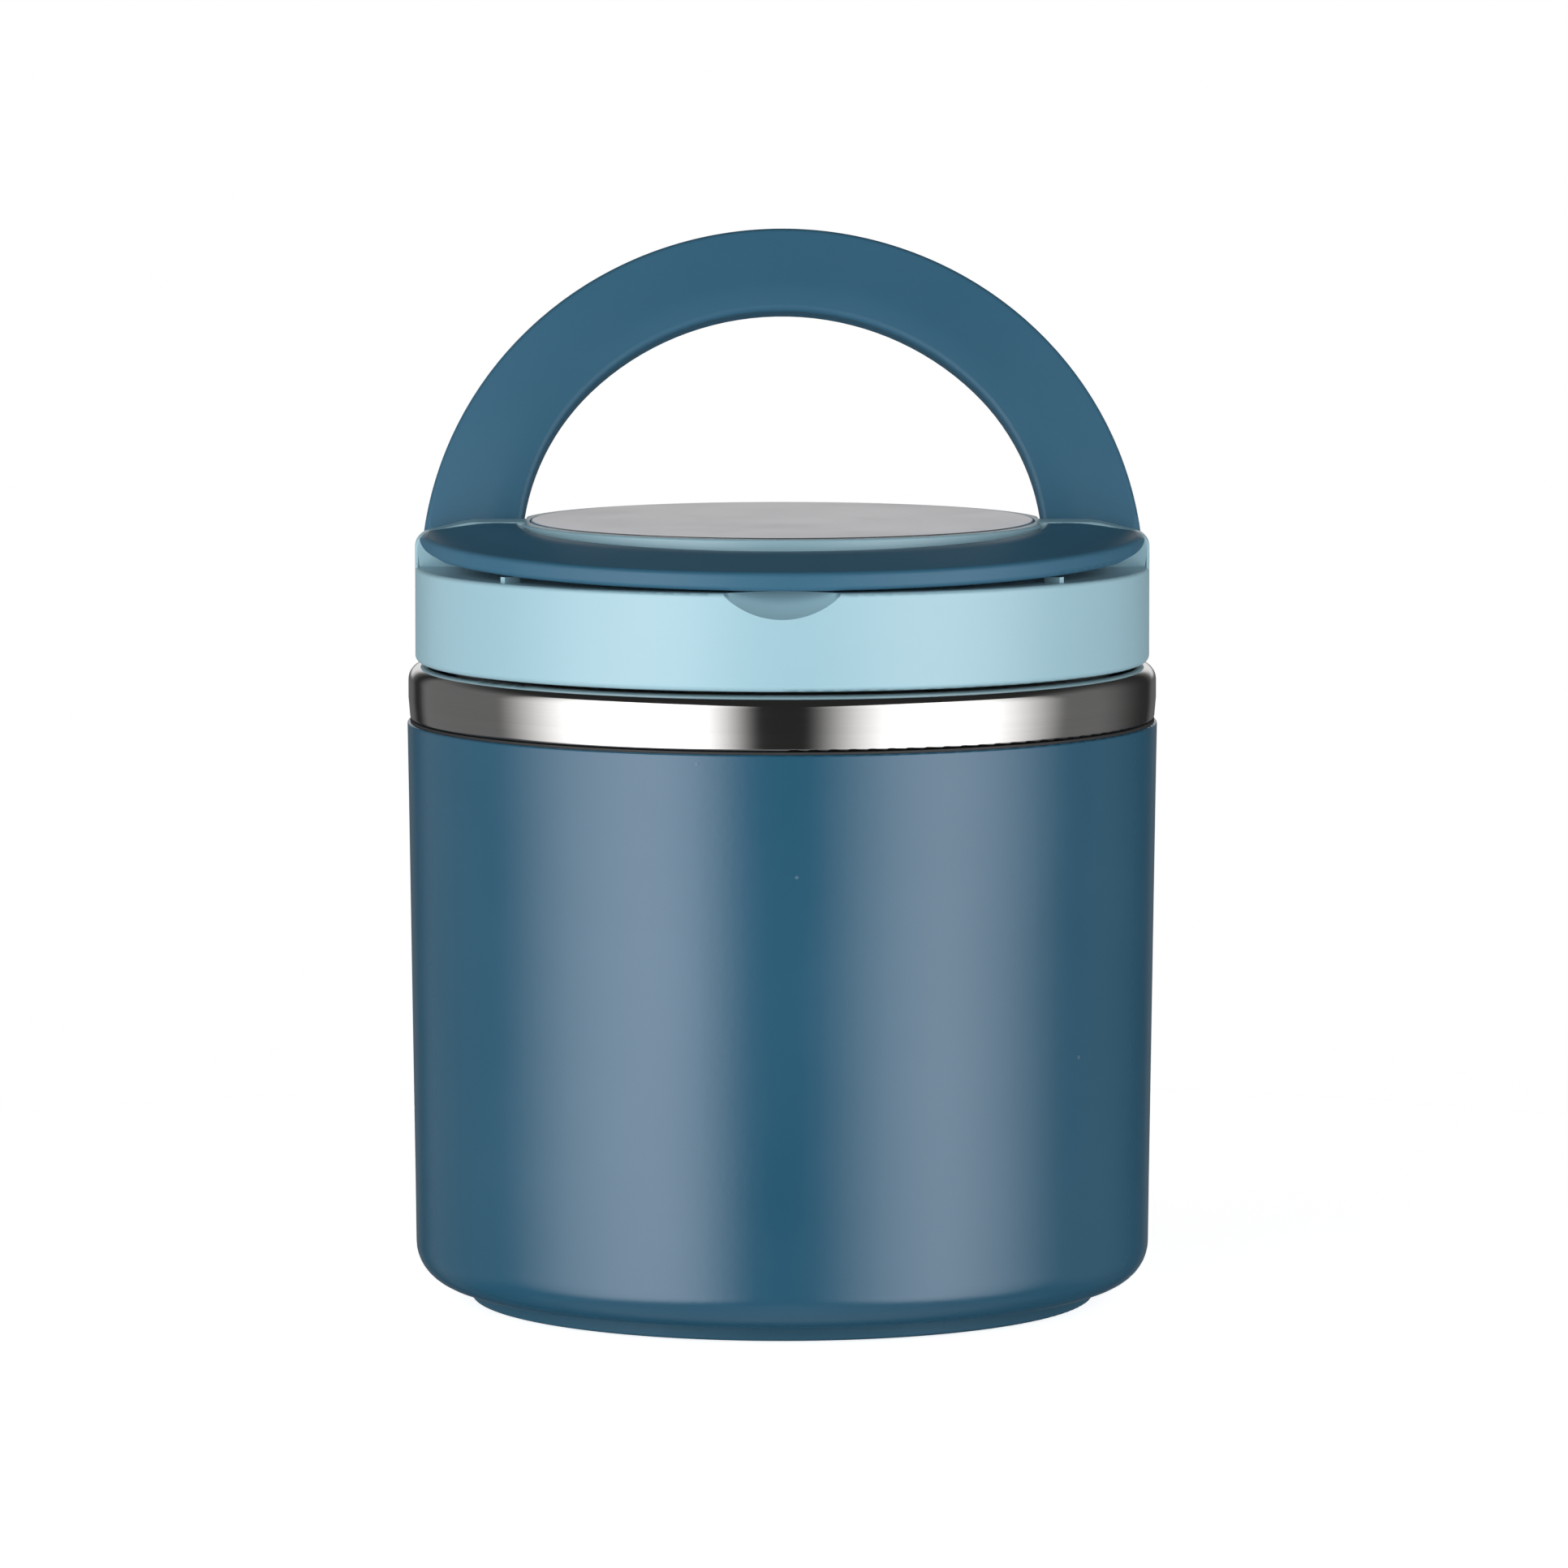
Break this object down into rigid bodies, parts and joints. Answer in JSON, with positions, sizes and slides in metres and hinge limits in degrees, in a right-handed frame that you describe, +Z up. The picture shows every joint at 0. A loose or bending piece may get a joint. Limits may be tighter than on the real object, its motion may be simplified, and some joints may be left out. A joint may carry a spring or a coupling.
{
  "type": "insulated food jar",
  "caption": "Vacuum-insulated round food jar in a plastic sleeve, with a screw-on lid that carries folding half-ring handles above a steel disc.",
  "frame": {"origin": "on the table, under the middle of the foot", "axes": "+Z up through the lid along the jar's axis, -Y towards the handle that is folded down, +X to the right when seen from that side"},
  "size_m": [0.138, 0.138, 0.1963],
  "materials": {
    "shell_blue": "satin moulded polypropylene, slate blue",
    "handle_blue": "satin moulded polypropylene, slate blue",
    "lid_blue": "smooth moulded polypropylene, pale blue",
    "vessel_steel": "bright spun stainless steel",
    "liner_steel": "electropolished stainless steel",
    "disc_steel": "stainless steel, finely turned",
    "foil": "bright foil",
    "getter_metal": "dull sintered metal",
    "screw_steel": "plain stainless steel",
    "inner_lid_plastic": "matt moulded polypropylene, off-white",
    "seal_silicone": "translucent white silicone",
    "seal_dark": "matt dark elastomer",
    "foot_rubber": "matt dark rubber",
    "foam": "closed-cell foam"
  },
  "bodies": {
    "jar": {"outer_shell": "shell_blue", "shell_seal": "seal_dark", "base_cover": "shell_blue", "base_screw": "screw_steel", "base_cushion": "foam", "foot_pad": "foot_rubber", "outer_can": "vessel_steel", "can_base": "vessel_steel", "inner_liner": "liner_steel", "heat_shield": "foil", "getter": "getter_metal", "vacuum_seal": "getter_metal", "weld_nut": "screw_steel"},
    "seal": {"lid_seal": "seal_silicone"},
    "lid": {"lid_cap": "lid_blue", "lid_disc": "disc_steel", "disc_pad": "foam", "lid_foam": "foam", "inner_lid": "inner_lid_plastic"},
    "front_handle": {"front_handle": "handle_blue", "front_hinge_pins": "screw_steel"},
    "back_handle": {"back_handle": "handle_blue", "back_hinge_pins": "screw_steel"}
  },
  "joints": [
    {"name": "lid_turn", "type": "hinge", "parent": "seal", "child": "lid", "pos_m": [0, 0, 0.1305], "axis": [0, 0, 1], "range_deg": [0, 720]},
    {"name": "lid_rise", "type": "slide", "parent": "jar", "child": "seal", "axis": [0, 0, 1], "range_m": [0, 0.0301]},
    {"name": "front_handle_hinge", "type": "hinge", "parent": "lid", "child": "front_handle", "pos_m": [0, -0.0078, 0.1406], "axis": [-1, 0, 0], "range_deg": [0, 92.5]},
    {"name": "back_handle_hinge", "type": "hinge", "parent": "lid", "child": "back_handle", "pos_m": [0, 0.0078, 0.1406], "axis": [1, 0, 0], "range_deg": [-73, 19.5]}
  ],
  "couplings": [
    {"joint": "lid_rise", "follows": "lid_turn", "m_per_rad": 0.0023873}
  ]
}
